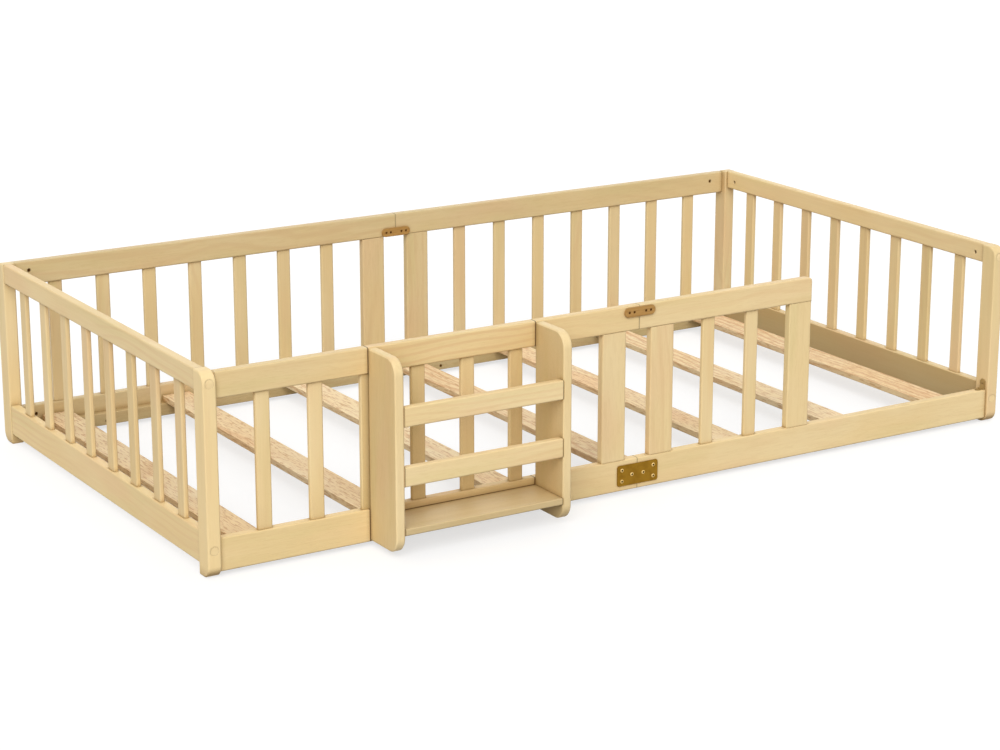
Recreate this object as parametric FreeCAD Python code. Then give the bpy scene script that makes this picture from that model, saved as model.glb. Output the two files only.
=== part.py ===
import FreeCAD, Part
import os
from math import cos, pi, sin

Vector = FreeCAD.Vector

# Toddler floor bed of light solid wood: four posts, slatted rails on all sides, an open
# entrance at the front right, a book shelf on the front left, and loose slats on ledgers
# that carry the mattress near the floor.
# Millimetres. X runs along the bed, Y from front to rear, Z up from the floor.
# While the pieces are built, X = 0 and Y = 0 is the middle between the four posts.

# ---- mattress and overall sizes ----
mattress_length = 1905.0
mattress_width = 990.0
mattress_gap_end = 9.5          # clear space at each end of the mattress
mattress_gap_side = 5.5         # clear space along each side of the mattress

# ---- posts ----
post_thickness = 28.0           # along X
post_depth = 42.0               # along Y
post_height = 409.0
post_corner_radius = 24.0       # outward corners, top and bottom
post_edge_chamfer = 2.0

# ---- rails ----
rail_thickness = 20.0
rail_edge_chamfer = 2.0
side_rail_inset = 7.0           # outer face of a side rail behind the post's face
side_top_drop = 3.0             # top of a side rail below the top of the post
side_top_height = 52.5
side_bottom_lift = 10.0         # lower edge of a side bottom rail above the floor
side_bottom_height = 67.0
end_rail_inset = 2.0
end_top_height = 42.5
end_bottom_lift = 22.0
end_bottom_height = 67.0
rail_end_radius = 9.0           # free upper corner of the front rail at the entrance
entrance_width = 512.0          # from the free rail end to the front right post

# ---- upright slats ----
slat_width = 31.0
slat_thickness = 10.0
slat_edge_chamfer = 2.0
slat_pitch = 113.35
slat_first = 128.3              # first slat's centre from the post's outer face
slat_least_gap = 50.0
end_slat_pitch = 113.0
wide_slat_width = 58.0
wide_slat_thickness = 18.0
wide_slat_edge_chamfer = 2.0
wide_slat_offset = 60.0         # centre of a middle wide slat from the middle of the bed
tenon_width = 38.0
tenon_thickness = 10.0
mortise_depth = 15.0
mortise_clearance = 0.15
mortise_end_gap = 1.0

# ---- book shelf ----
shelf_offset = 355.0            # left side board from the left post's outer face
shelf_width = 403.0             # over both side boards
shelf_reach = 97.0              # in front of the posts
shelf_board_thickness = 20.0
shelf_lift = 12.0
shelf_top_drop = 5.0            # top of the side boards below the top of the post
shelf_corner_radius = 32.0
shelf_edge_chamfer = 2.5
bar_height = 40.0
bar_thickness = 16.0
bar_edge_chamfer = 2.0
upper_bar_level = 268.0         # lower edge of the upper bar
lower_bar_level = 147.5
tray_level = 48.0               # underside of the tray that the books stand on
tray_thickness = 14.0
tray_edge_chamfer = 1.5
seam_offset = 1.0               # rail seams, left of each side board's left face

# ---- ledgers and mattress slats ----
ledger_depth = 21.0
ledger_height = 28.0
ledger_edge_chamfer = 1.0
ledger_end_gap = 1.0
bed_slat_width = 67.0
bed_slat_thickness = 14.0
bed_slat_pitch = 292.0
bed_slat_edge_chamfer = 1.0
bed_slat_side_gap = 1.0
bed_slat_least_gap = 30.0

# ---- joint plates ----
wood_plate_length = 75.0
front_plate_height = 20.0
front_plate_drop = 3.0          # top of the front plate below the top of the rail
rear_plate_height = 20.0
wood_plate_thickness = 3.5
plate_screw_inner = 14.5        # screw places from the middle of a wooden plate
plate_screw_outer = 26.5
brass_length = 101.6
brass_height = 45.0
brass_thickness = 2.0
brass_corner_radius = 5.0
brass_lift = 11.0               # lower edge of the plate above that of the rail
brass_screw_inner = 14.2
brass_screw_outer = 39.4
brass_screw_rise = 12.0

# ---- corner brace at the entrance ----
brace_width = 16.0
brace_thickness = 2.0
brace_height = 23.0
brace_reach = 21.0
brace_corner = 4.5
brace_hole_height = 13.4
brace_hole_reach = 12.0

# ---- bolts, barrel nuts and plug caps ----
bolt_radius = 3.0
bolt_clearance = 0.2
bolt_head_radius = 6.0
bolt_head_height = 6.0
bolt_head_clearance = 0.5
bolt_tip = 7.0                  # thread that stands out beyond the nut's centre
plug_radius = 9.0
plug_depth = 6.0
plug_clearance = 0.05
nut_radius = 4.4
nut_length = 14.0
nut_recess = 2.5                # nut below the rail's inner face
nut_clearance = 0.2
upper_bolt_drop = 23.5          # bolt axis below the top of the post
lower_bolt_level = 56.0
end_nut_distance = 72.0         # nut's centre from the post's outward face
side_nut_distance = 66.0        # nut's centre from the post's outer end face
hanger_post_depth = 9.5         # wood thread of a hanger bolt inside the post

# ---- sides of the small turned pieces and of their holes ----
fastener_sides = 6
nut_sides = 6
plug_sides = 12

# ---- screws and dowels ----
screw_fit = 0.05
wood_screw_radius = 2.0
wood_screw_head_radius = 4.0
wood_screw_head_height = 2.4
small_screw_radius = 1.6
small_screw_head_radius = 3.2
small_screw_head_height = 2.0
head_recess = 0.2
plate_screw_length = 20.0
plate_screw_sink = 0.7          # screw heads below the face of a wooden plate
brass_screw_length = 15.0
brace_screw_length = 13.0
ledger_screw_length = 35.0
ledger_screw_places = (765.0, 110.0)   # from the middle of the bed, to both sides
ledger_screw_rise = 10.0        # above the ledger's lower edge
shelf_screw_length = 45.0
shelf_screw_upper_drop = 23.0   # below the post's top
shelf_screw_lower_level = 50.0
dowel_radius = 4.0
dowel_half_length = 15.0
dowel_fit = 0.05
rail_dowel_top_drops = (11.0, 29.0)    # below the top of the top rail
rail_dowel_bottom_rises = (10.0, 28.0)  # above the lower edge of the bottom rail
bar_dowel_spread = 10.0
board_dowel_depth = 12.0
bar_dowel_depth = 18.0
tray_dowel_radius = 3.0
tray_dowel_places = (24.5, 64.5)       # from the front edge of the tray

# ---- levels and planes that follow ----
bed_length = mattress_length + 2 * (mattress_gap_end + post_thickness)
bed_width = mattress_width + 2 * (mattress_gap_side + rail_thickness + side_rail_inset)
half_length = bed_length / 2
half_width = bed_width / 2
post_inner_x = half_length - post_thickness
post_inner_y = half_width - post_depth

side_outer_y = half_width - side_rail_inset
side_inner_y = side_outer_y - rail_thickness
side_middle_y = side_outer_y - rail_thickness / 2
side_top_z1 = post_height - side_top_drop
side_top_z0 = side_top_z1 - side_top_height
side_bottom_z0 = side_bottom_lift
side_bottom_z1 = side_bottom_z0 + side_bottom_height

end_outer_x = half_length - end_rail_inset
end_inner_x = end_outer_x - rail_thickness
end_middle_x = end_outer_x - rail_thickness / 2
end_top_z1 = post_height
end_top_z0 = end_top_z1 - end_top_height
end_bottom_z0 = end_bottom_lift
end_bottom_z1 = end_bottom_z0 + end_bottom_height

panel_end_x = post_inner_x - entrance_width
shelf_left_x = -half_length + shelf_offset
shelf_right_x = shelf_left_x + shelf_width - shelf_board_thickness
shelf_front_y = -half_width - shelf_reach
bay_left_x = shelf_left_x + shelf_board_thickness
seam_left_x = shelf_left_x - seam_offset
seam_right_x = shelf_right_x - seam_offset
bar_back_y = shelf_front_y + bar_thickness

ledger_z1 = side_bottom_z0 + ledger_height
ledger_inner_y = side_inner_y - ledger_depth
bed_slat_z1 = ledger_z1 + bed_slat_thickness

upper_bolt_z = post_height - upper_bolt_drop
bolt_x = half_length - post_thickness / 2
bolt_levels = (upper_bolt_z, lower_bolt_level)

AXES = {"X": Vector(1, 0, 0), "Y": Vector(0, 1, 0), "Z": Vector(0, 0, 1)}


# ---- small makers ----
def block(x0, x1, y0, y1, z0, z1):
    return Part.makeBox(x1 - x0, y1 - y0, z1 - z0, Vector(x0, y0, z0))


def rod(radius, start, direction, length, sides=fastener_sides):
    """A many-sided rod; holes take the same sides, so the clearance stays even."""
    side = Vector(direction.y, direction.z, direction.x)
    up = direction.cross(side)
    corners = []
    for i in range(sides):
        angle = (2 * i + 1) * pi / sides
        corners.append(start + side * (radius * cos(angle)) + up * (radius * sin(angle)))
    corners.append(corners[0])
    return Part.Face(Part.makePolygon(corners)).extrude(direction * length)


def straight_edges(shape, axis):
    """Edges of a shape that run along one axis."""
    found = []
    for edge in shape.Edges:
        line = edge.Vertexes[-1].Point - edge.Vertexes[0].Point
        if line.Length > 0 and abs(line.dot(axis)) > 0.999 * line.Length:
            found.append(edge)
    return found


def eased(shape, chamfer, axis_name):
    """Ease the long edges that run along one axis with a flat."""
    return shape.makeChamfer(chamfer, straight_edges(shape, AXES[axis_name]))


def mirror_x(shape):
    return shape.mirror(Vector(0, 0, 0), AXES["X"])


def mirror_y(shape):
    return shape.mirror(Vector(0, 0, 0), AXES["Y"])


def both_sides(shapes):
    """The shapes with their copies mirrored from front to rear."""
    return shapes + [mirror_y(shape) for shape in shapes]


def all_corners(shapes):
    """The shapes of the front left corner, copied to all four corners."""
    left = both_sides(shapes)
    return left + [mirror_x(shape) for shape in left]


def carved(shape, cutters):
    """Cut away every cutter that comes near the shape."""
    near = [cutter for cutter in cutters if cutter.BoundBox.intersect(shape.BoundBox)]
    if not near:
        return shape
    return shape.cut(near).Solids[0]


def rounded_plate(points, radii, axis, thickness):
    """A plate from a polygon; each corner has its own radius, or 0 to stay square."""
    edges = []
    starts = []
    ends = []
    arcs = []
    count = len(points)
    for i in range(count):
        corner = points[i]
        before = (points[i - 1] - corner).normalize()
        after = (points[(i + 1) % count] - corner).normalize()
        if radii[i] > 0:
            first = corner + before * radii[i]
            last = corner + after * radii[i]
            centre = first + after * radii[i]
            bisector = (corner - centre).normalize()
            arcs.append(Part.Arc(first, centre + bisector * radii[i], last).toShape())
        else:
            first = corner
            last = corner
            arcs.append(None)
        starts.append(first)
        ends.append(last)
    for i in range(count):
        if arcs[i]:
            edges.append(arcs[i])
        edges.append(Part.LineSegment(ends[i], starts[(i + 1) % count]).toShape())
    return Part.Face(Part.Wire(edges)).extrude(axis * thickness)


def outline_edges(shape, axis):
    """Edges of a plate's two faces square to the axis."""
    found = []
    for edge in shape.Edges:
        levels = [vertex.Point.dot(axis) for vertex in edge.Vertexes]
        if max(levels) - min(levels) < 0.001:
            found.append(edge)
    return found


def sunk_screw(start, direction, length, radius, head_radius, head_height, grow):
    """A screw with a sunk head, or its hole when it grows by a fit."""
    shank = rod(radius + grow, start, direction, length + grow)
    head = rod(head_radius + grow, start, direction, head_height)
    return shank.fuse(head).removeSplitter()


def screw_and_hole(start, direction, length, radius, head_radius, head_height, sink):
    """A screw whose head lies below the surface at start, and the hole that takes it."""
    top = start + direction * sink
    screw = sunk_screw(top, direction, length, radius, head_radius, head_height, 0)
    hole = sunk_screw(top, direction, length, radius, head_radius, head_height, screw_fit)
    mouth = rod(head_radius + screw_fit, start - direction, direction, sink + 1)
    return screw, hole.fuse(mouth).removeSplitter()


def wood_screw(start, direction, length):
    return screw_and_hole(start, direction, length, wood_screw_radius,
                          wood_screw_head_radius, wood_screw_head_height, head_recess)


def small_screw(start, direction, length, sink):
    return screw_and_hole(start, direction, length, small_screw_radius,
                          small_screw_head_radius, small_screw_head_height, sink)


def save(name, solids):
    """Write a node, moved so that the origin is under the middle of the overall box."""
    shape = solids[0].copy() if len(solids) == 1 else Part.makeCompound(solids)
    shape.translate(Vector(0, shelf_reach / 2, 0))
    shape.exportStep("parts/" + name + ".step")


# ---- slat places ----
def left_slat_centres():
    """Regular slats from the left post to the wide slat by the middle."""
    limit = -wide_slat_offset - wide_slat_width / 2 - slat_least_gap
    centres = []
    centre = -half_length + slat_first
    while centre + slat_width / 2 < limit:
        centres.append(centre)
        centre += slat_pitch
    return centres


def end_slat_centres():
    """Slats of an end, in pairs outwards from the middle."""
    limit = post_inner_y - slat_least_gap
    centres = []
    offset = end_slat_pitch / 2
    while offset + slat_width / 2 < limit:
        centres += [-offset, offset]
        offset += end_slat_pitch
    return sorted(centres)


def bed_slat_centres():
    """Mattress slats, from the middle of the bed to both ends."""
    limit = post_inner_x - bed_slat_least_gap
    centres = [0.0]
    offset = bed_slat_pitch
    while offset + bed_slat_width / 2 < limit:
        centres += [-offset, offset]
        offset += bed_slat_pitch
    return sorted(centres)


left_centres = left_slat_centres()
right_centres = [-centre for centre in reversed(left_centres)]
panel_limit = panel_end_x - wide_slat_width - slat_least_gap
front_right_centres = [c for c in right_centres if c + slat_width / 2 < panel_limit]
panel_slat_x = panel_end_x - wide_slat_width / 2


# ---- upright slats, their tenons and mortises ----
def side_slat(centre, grow, end_gap):
    """A regular slat at the front, or its mortises when it grows by a clearance."""
    half_w = slat_width / 2 + grow
    half_t = slat_thickness / 2 + grow
    bar = block(centre - half_w, centre + half_w, -side_middle_y - half_t,
                -side_middle_y + half_t, side_bottom_z1 - mortise_depth - end_gap,
                side_top_z0 + mortise_depth + end_gap)
    return bar if grow else eased(bar, slat_edge_chamfer, "Z")


def end_slat(centre, grow, end_gap):
    """A slat of the left end, or its mortises when it grows by a clearance."""
    half_w = slat_width / 2 + grow
    half_t = slat_thickness / 2 + grow
    bar = block(-end_middle_x - half_t, -end_middle_x + half_t, centre - half_w,
                centre + half_w, end_bottom_z1 - mortise_depth - end_gap,
                end_top_z0 + mortise_depth + end_gap)
    return bar if grow else eased(bar, slat_edge_chamfer, "Z")


def tenon_bar(centre, grow, end_gap):
    """The bar that makes both tenons of a wide slat, or their mortises."""
    half_w = tenon_width / 2 + grow
    half_t = tenon_thickness / 2 + grow
    return block(centre - half_w, centre + half_w, -side_middle_y - half_t,
                 -side_middle_y + half_t, side_bottom_z1 - mortise_depth - end_gap,
                 side_top_z0 + mortise_depth + end_gap)


def wide_slat(centre):
    """A wide slat with shoulders against the rails and a tenon at each end."""
    half_w = wide_slat_width / 2
    half_t = wide_slat_thickness / 2
    body = block(centre - half_w, centre + half_w, -side_middle_y - half_t,
                 -side_middle_y + half_t, side_bottom_z1, side_top_z0)
    body = eased(body, wide_slat_edge_chamfer, "Z")
    return body.fuse(tenon_bar(centre, 0, 0)).removeSplitter()


front_wide_centres = [-wide_slat_offset, wide_slat_offset, panel_slat_x]
rear_wide_centres = [-wide_slat_offset, wide_slat_offset]


def side_mortises(regular, wide):
    cutters = [side_slat(c, mortise_clearance, mortise_end_gap) for c in regular]
    cutters += [tenon_bar(c, mortise_clearance, mortise_end_gap) for c in wide]
    return cutters


# ---- bolts, barrel nuts and plugs of the front left corner ----
def post_bolt(level):
    """Bolt along Y from the post's outward face into the end rail."""
    head = Vector(-bolt_x, -half_width + plug_depth, level)
    length = end_nut_distance + bolt_tip - plug_depth
    bolt = rod(bolt_head_radius, head, AXES["Y"], bolt_head_height)
    return bolt.fuse(rod(bolt_radius, head, AXES["Y"], length)).removeSplitter()


def post_bolt_holes(level):
    """Plug seat, head seat and clearance bore for a post bolt."""
    face = Vector(-bolt_x, -half_width, level)
    head_seat = bolt_head_radius + bolt_head_clearance
    bore_length = end_nut_distance + bolt_tip + 1
    return [rod(plug_radius, face - AXES["Y"], AXES["Y"], plug_depth + 1, plug_sides),
            rod(head_seat, face, AXES["Y"], plug_depth + bolt_head_height),
            rod(bolt_radius + bolt_clearance, face, AXES["Y"], bore_length)]


def end_nut(level):
    """Barrel nut across the end rail, open towards the mattress."""
    x0 = -end_inner_x - nut_recess - nut_length
    centre_y = -half_width + end_nut_distance
    nut = rod(nut_radius, Vector(x0, centre_y, level), AXES["X"], nut_length, nut_sides)
    thread = rod(bolt_radius + screw_fit, Vector(-bolt_x, centre_y - 2 * nut_radius, level),
                 AXES["Y"], 4 * nut_radius)
    return nut.cut(thread).Solids[0]


def end_nut_hole(level):
    x0 = -end_inner_x - nut_recess - nut_length
    start = Vector(x0, -half_width + end_nut_distance, level)
    return rod(nut_radius + nut_clearance, start, AXES["X"], nut_length + nut_recess + 1,
               nut_sides)


def hanger_bolt(level):
    """Hanger bolt along X from the post into the side rail."""
    x0 = -post_inner_x - hanger_post_depth
    x1 = -half_length + side_nut_distance + bolt_tip
    return rod(bolt_radius, Vector(x0, -side_middle_y, level), AXES["X"], x1 - x0)


def hanger_holes(level):
    x0 = -post_inner_x - hanger_post_depth
    x1 = -half_length + side_nut_distance + bolt_tip + 1
    post_hole = rod(bolt_radius + screw_fit, Vector(x0, -side_middle_y, level), AXES["X"],
                    hanger_post_depth)
    rail_hole = rod(bolt_radius + bolt_clearance, Vector(-post_inner_x, -side_middle_y, level),
                    AXES["X"], x1 + post_inner_x)
    return [post_hole, rail_hole]


def side_nut(level):
    """Barrel nut across the side rail, open towards the mattress."""
    y0 = -side_inner_y - nut_recess - nut_length
    centre_x = -half_length + side_nut_distance
    nut = rod(nut_radius, Vector(centre_x, y0, level), AXES["Y"], nut_length, nut_sides)
    thread = rod(bolt_radius + screw_fit, Vector(centre_x - 2 * nut_radius, -side_middle_y, level),
                 AXES["X"], 4 * nut_radius)
    return nut.cut(thread).Solids[0]


def side_nut_hole(level):
    y0 = -side_inner_y - nut_recess - nut_length
    start = Vector(-half_length + side_nut_distance, y0, level)
    return rod(nut_radius + nut_clearance, start, AXES["Y"], nut_length + nut_recess + 1,
               nut_sides)


def post_blank():
    """Front left post before its holes: a plate in Y and Z with round outward corners."""
    y0 = -half_width
    y1 = -post_inner_y
    corners = [Vector(-half_length, y0, 0), Vector(-half_length, y1, 0),
               Vector(-half_length, y1, post_height), Vector(-half_length, y0, post_height)]
    radii = [post_corner_radius, 0, 0, post_corner_radius]
    post = rounded_plate(corners, radii, AXES["X"], post_thickness)
    return post.makeChamfer(post_edge_chamfer, outline_edges(post, AXES["X"]))


def plug(level):
    """Wooden plug over a bolt head, flush with the post also where its corner curves."""
    cap = rod(plug_radius - plug_clearance, Vector(-bolt_x, -half_width, level), AXES["Y"],
              plug_depth, plug_sides)
    return cap.common(post_blank()).Solids[0]


post_bolts = [post_bolt(level) for level in bolt_levels]
end_nuts = [end_nut(level) for level in bolt_levels]
plugs = [plug(level) for level in bolt_levels]
post_holes = []
end_holes = []
for bolt_level in bolt_levels:
    post_holes += post_bolt_holes(bolt_level)
    end_holes += post_bolt_holes(bolt_level) + [end_nut_hole(bolt_level)]
upper_hanger_holes = hanger_holes(upper_bolt_z)
lower_hanger_holes = hanger_holes(lower_bolt_level)
upper_side_holes = upper_hanger_holes + [side_nut_hole(upper_bolt_z)]
lower_side_holes = lower_hanger_holes + [side_nut_hole(lower_bolt_level)]


# ---- corner brace at the front right post ----
brace_x = post_inner_x
brace_screw_high, brace_hole_high = small_screw(
    Vector(brace_x - brace_thickness, -side_middle_y, side_bottom_z1 + brace_hole_height),
    AXES["X"], brace_screw_length, 0)
brace_screw_low, brace_hole_low = small_screw(
    Vector(brace_x - brace_hole_reach, -side_middle_y, side_bottom_z1 + brace_thickness),
    -AXES["Z"], brace_screw_length, 0)
brace_holes = [brace_hole_high, brace_hole_low]


def brace_leg(axis, length):
    """A flat leg of the brace along an axis from the corner, with cut outer corners."""
    corner = Vector(brace_x, -side_middle_y, side_bottom_z1)
    half = AXES["Y"] * (brace_width / 2)
    tip = corner + axis * length
    flat = AXES["X"] * -brace_thickness if axis == AXES["Z"] else AXES["Z"] * brace_thickness
    shoulder = tip - axis * brace_corner
    inset = half - AXES["Y"] * brace_corner
    return Part.Face(Part.makePolygon([corner + half, shoulder + half, tip + inset, tip - inset,
                                       shoulder - half, corner - half,
                                       corner + half])).extrude(flat)


def corner_brace():
    legs = brace_leg(AXES["Z"], brace_height).fuse(brace_leg(-AXES["X"], brace_reach))
    return carved(legs.removeSplitter(), brace_holes)


# ---- posts ----
def post(hanger_hole_sets):
    holes = list(post_holes)
    for hole_set in hanger_hole_sets:
        holes += hole_set
    return carved(post_blank(), holes)


full_post = post([upper_hanger_holes, lower_hanger_holes])
entrance_post = mirror_x(post([lower_hanger_holes]))
save("post_front_left", [full_post])
save("post_front_right", [carved(entrance_post, brace_holes)])
save("post_rear_left", [mirror_y(full_post)])
save("post_rear_right", [mirror_x(mirror_y(full_post))])


# ---- ends ----
def end_rail(z0, z1):
    bar = block(-end_outer_x, -end_inner_x, -post_inner_y, post_inner_y, z0, z1)
    cutters = [end_slat(c, mortise_clearance, mortise_end_gap) for c in end_slat_centres()]
    cutters += both_sides(end_holes)
    return carved(eased(bar, rail_edge_chamfer, "Y"), cutters)


end_top = end_rail(end_top_z0, end_top_z1)
end_bottom = end_rail(end_bottom_z0, end_bottom_z1)
end_slats = [end_slat(centre, 0, 0) for centre in end_slat_centres()]
save("end_left_top_rail", [end_top])
save("end_left_bottom_rail", [end_bottom])
save("end_left_slats", end_slats)
save("end_right_top_rail", [mirror_x(end_top)])
save("end_right_bottom_rail", [mirror_x(end_bottom)])
save("end_right_slats", [mirror_x(slat) for slat in end_slats])


# ---- plates over the rail joints in the middle ----
def wood_plate_screws(outer_y, direction, level):
    """Screws and holes of a wooden plate, from its outer face."""
    screws = []
    holes = []
    for offset in (plate_screw_inner, plate_screw_outer):
        for place in (-offset, offset):
            start = Vector(place, outer_y, level)
            screw, hole = small_screw(start, direction, plate_screw_length, plate_screw_sink)
            screws.append(screw)
            holes.append(hole)
    return screws, holes


def stadium(outer_y, z0, height):
    """A wooden plate with half-round ends, its outer face at outer_y, growing towards +Y."""
    half = wood_plate_length / 2
    end_radius = height / 2
    low = z0
    high = z0 + height
    left = -half + end_radius
    right = half - end_radius
    middle = (low + high) / 2
    sides = [Part.LineSegment(Vector(left, outer_y, low), Vector(right, outer_y, low)).toShape(),
             Part.Arc(Vector(right, outer_y, low), Vector(half, outer_y, middle),
                      Vector(right, outer_y, high)).toShape(),
             Part.LineSegment(Vector(right, outer_y, high), Vector(left, outer_y, high)).toShape(),
             Part.Arc(Vector(left, outer_y, high), Vector(-half, outer_y, middle),
                      Vector(left, outer_y, low)).toShape()]
    return Part.Face(Part.Wire(sides)).extrude(AXES["Y"] * wood_plate_thickness)


front_plate_z0 = side_top_z1 - front_plate_drop - front_plate_height
front_plate_y = -side_outer_y - wood_plate_thickness
front_plate_screws, front_plate_holes = wood_plate_screws(
    front_plate_y, AXES["Y"], front_plate_z0 + front_plate_height / 2)
rear_plate_y = side_inner_y - wood_plate_thickness
rear_plate_screws, rear_plate_holes = wood_plate_screws(
    rear_plate_y, AXES["Y"], side_top_z0 + rear_plate_height / 2)

front_brass_y = -side_outer_y - brass_thickness
brass_z0 = side_bottom_z0 + brass_lift
brass_middle_z = brass_z0 + brass_height / 2
brass_places = [(-brass_screw_inner, 0), (brass_screw_inner, 0)]
brass_places += [(-brass_screw_outer, -brass_screw_rise), (-brass_screw_outer, brass_screw_rise)]
brass_places += [(brass_screw_outer, -brass_screw_rise), (brass_screw_outer, brass_screw_rise)]
brass_screws = []
brass_holes = []
for place_x, place_z in brass_places:
    brass_start = Vector(place_x, front_brass_y, brass_middle_z + place_z)
    brass_screw, brass_hole = small_screw(brass_start, AXES["Y"], brass_screw_length, 0)
    brass_screws.append(brass_screw)
    brass_holes.append(brass_hole)

brass_corners = [Vector(-brass_length / 2, front_brass_y, brass_z0),
                 Vector(brass_length / 2, front_brass_y, brass_z0),
                 Vector(brass_length / 2, front_brass_y, brass_z0 + brass_height),
                 Vector(-brass_length / 2, front_brass_y, brass_z0 + brass_height)]
brass_plate = rounded_plate(brass_corners, [brass_corner_radius] * 4, AXES["Y"],
                            brass_thickness)
brass_plate = carved(brass_plate, brass_holes)

save("front_wood_plate", [carved(stadium(front_plate_y, front_plate_z0, front_plate_height),
                                 front_plate_holes)])
save("rear_wood_plate", [carved(stadium(rear_plate_y, side_top_z0, rear_plate_height),
                                rear_plate_holes)])
save("front_brass_plate", [brass_plate])
save("rear_brass_plate", [mirror_y(brass_plate)])
save("wood_plate_screws", front_plate_screws + rear_plate_screws)
save("brass_plate_screws", both_sides(brass_screws))


# ---- ledgers and their screws ----
ledger_screws = []
ledger_holes = []
for distance in ledger_screw_places:
    for place_x in (-distance, distance):
        ledger_start = Vector(place_x, -ledger_inner_y, side_bottom_z0 + ledger_screw_rise)
        ledger_screw, ledger_hole = wood_screw(ledger_start, -AXES["Y"], ledger_screw_length)
        ledger_screws.append(ledger_screw)
        ledger_holes.append(ledger_hole)


def ledger(x0, x1):
    bar = block(x0, x1, -side_inner_y, -ledger_inner_y, side_bottom_z0, ledger_z1)
    return carved(eased(bar, ledger_edge_chamfer, "X"), ledger_holes)


ledger_left = ledger(-post_inner_x + ledger_end_gap, 0)
ledger_right = ledger(0, post_inner_x - ledger_end_gap)
save("ledger_front_left", [ledger_left])
save("ledger_front_right", [ledger_right])
save("ledger_rear_left", [mirror_y(ledger_left)])
save("ledger_rear_right", [mirror_y(ledger_right)])
save("ledger_screws", both_sides(ledger_screws))


def bed_slat(centre):
    half_w = bed_slat_width / 2
    end_y = side_inner_y - bed_slat_side_gap
    board = block(centre - half_w, centre + half_w, -end_y, end_y, ledger_z1, bed_slat_z1)
    return eased(board, bed_slat_edge_chamfer, "Y")


save("mattress_slats", [bed_slat(centre) for centre in bed_slat_centres()])


# ---- dowels and screws of the front rails and the shelf ----
rail_dowels = []
rail_dowel_holes = []
dowel_levels = [side_top_z1 - drop for drop in rail_dowel_top_drops]
dowel_levels += [side_bottom_z0 + rise for rise in rail_dowel_bottom_rises]
for seam_x in (seam_left_x, seam_right_x):
    for level in dowel_levels:
        dowel_start = Vector(seam_x - dowel_half_length, -side_middle_y, level)
        rail_dowels.append(rod(dowel_radius, dowel_start, AXES["X"], 2 * dowel_half_length))
        rail_dowel_holes.append(rod(dowel_radius + dowel_fit, dowel_start, AXES["X"],
                                    2 * dowel_half_length))

shelf_screws = []
shelf_screw_holes = []
for board_x in (shelf_left_x, shelf_right_x):
    for level in (post_height - shelf_screw_upper_drop, shelf_screw_lower_level):
        shelf_start = Vector(board_x + shelf_board_thickness / 2, -side_inner_y, level)
        shelf_screw, shelf_hole = wood_screw(shelf_start, -AXES["Y"], shelf_screw_length)
        shelf_screws.append(shelf_screw)
        shelf_screw_holes.append(shelf_hole)


def shelf_dowel_pair(radius, y, level):
    """Dowels at both ends of a bar or tray, from side board to side board."""
    length = board_dowel_depth + bar_dowel_depth
    left = rod(radius, Vector(bay_left_x - board_dowel_depth, y, level), AXES["X"], length)
    right = rod(radius, Vector(shelf_right_x - bar_dowel_depth, y, level), AXES["X"], length)
    return [left, right]


bar_middle_y = (shelf_front_y + bar_back_y) / 2
tray_middle_z = tray_level + tray_thickness / 2
shelf_dowels = []
shelf_dowel_holes = []
for bar_level in (upper_bar_level, lower_bar_level):
    for spread in (-bar_dowel_spread, bar_dowel_spread):
        level = bar_level + bar_height / 2 + spread
        shelf_dowels += shelf_dowel_pair(dowel_radius, bar_middle_y, level)
        shelf_dowel_holes += shelf_dowel_pair(dowel_radius + dowel_fit, bar_middle_y, level)
for place in tray_dowel_places:
    tray_y = shelf_front_y + place
    shelf_dowels += shelf_dowel_pair(tray_dowel_radius, tray_y, tray_middle_z)
    shelf_dowel_holes += shelf_dowel_pair(tray_dowel_radius + dowel_fit, tray_y, tray_middle_z)


# ---- front and rear rails ----
def side_rail(x0, x1, z0, z1, cutters):
    bar = block(x0, x1, -side_outer_y, -side_inner_y, z0, z1)
    return carved(eased(bar, rail_edge_chamfer, "X"), cutters)


def entrance_rail(cutters):
    """Top rail right of the middle, with a round upper corner at the entrance."""
    corners = [Vector(0, -side_outer_y, side_top_z0), Vector(panel_end_x, -side_outer_y, side_top_z0),
               Vector(panel_end_x, -side_outer_y, side_top_z1), Vector(0, -side_outer_y, side_top_z1)]
    bar = rounded_plate(corners, [0, 0, rail_end_radius, 0], AXES["Y"], rail_thickness)
    long_edges = [edge for edge in outline_edges(bar, AXES["Y"]) if edge.BoundBox.XMax > 0.01]
    return carved(bar.makeChamfer(rail_edge_chamfer, long_edges), cutters)


front_mortises = side_mortises(left_centres + front_right_centres, front_wide_centres)
rear_mortises = side_mortises(left_centres + right_centres, rear_wide_centres)
right_lower_holes = [mirror_x(hole) for hole in lower_side_holes]
right_upper_holes = [mirror_x(hole) for hole in upper_side_holes]
front_cutters = front_mortises + upper_side_holes + lower_side_holes + right_lower_holes
front_cutters += rail_dowel_holes + shelf_screw_holes + ledger_holes + brass_holes
front_cutters += front_plate_holes + brace_holes
rear_cutters = rear_mortises + upper_side_holes + lower_side_holes + right_lower_holes
rear_cutters += right_upper_holes + ledger_holes + brass_holes
rear_cutters += [mirror_y(hole) for hole in rear_plate_holes]

front_breaks = [-post_inner_x, seam_left_x, seam_right_x, 0]
for letter, x0, x1 in zip("abc", front_breaks[:-1], front_breaks[1:]):
    save("front_top_rail_" + letter,
         [side_rail(x0, x1, side_top_z0, side_top_z1, front_cutters)])
    save("front_bottom_rail_" + letter,
         [side_rail(x0, x1, side_bottom_z0, side_bottom_z1, front_cutters)])
save("front_top_rail_d", [entrance_rail(front_cutters)])
save("front_bottom_rail_d",
     [side_rail(0, post_inner_x, side_bottom_z0, side_bottom_z1, front_cutters)])

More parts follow.
